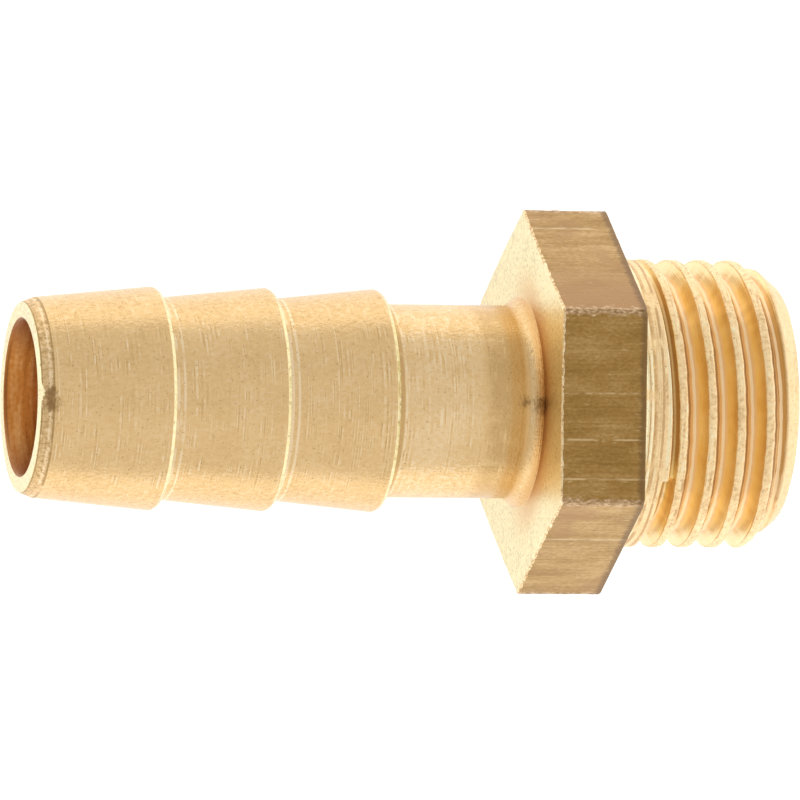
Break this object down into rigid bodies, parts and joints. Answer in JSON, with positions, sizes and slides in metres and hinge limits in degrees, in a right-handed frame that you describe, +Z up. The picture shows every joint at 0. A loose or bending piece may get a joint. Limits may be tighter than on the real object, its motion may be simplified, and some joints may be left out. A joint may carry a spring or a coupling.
{
  "type": "hose barb tail",
  "caption": "Turned brass fitting that joins a hose to a threaded port: a barbed hose tail, a spanner hexagon and a short parallel male pipe thread, bored through.",
  "frame": {"origin": "centre of the sealing shoulder, the face of the hexagon on the thread side, on the bore's axis", "axes": "+X along the bore, from the hose end to the threaded end; +Z up, square to one flat of the hexagon, with the opposite flat facing down"},
  "size_m": [0.0346, 0.0174, 0.015],
  "materials": {
    "brass": "bare brass: bright turned surfaces on the tail, the faces and the thread, duller drawn flats on the hexagon"
  },
  "bodies": {
    "root": {"hose_barb_tail": "brass"}
  },
  "joints": []
}
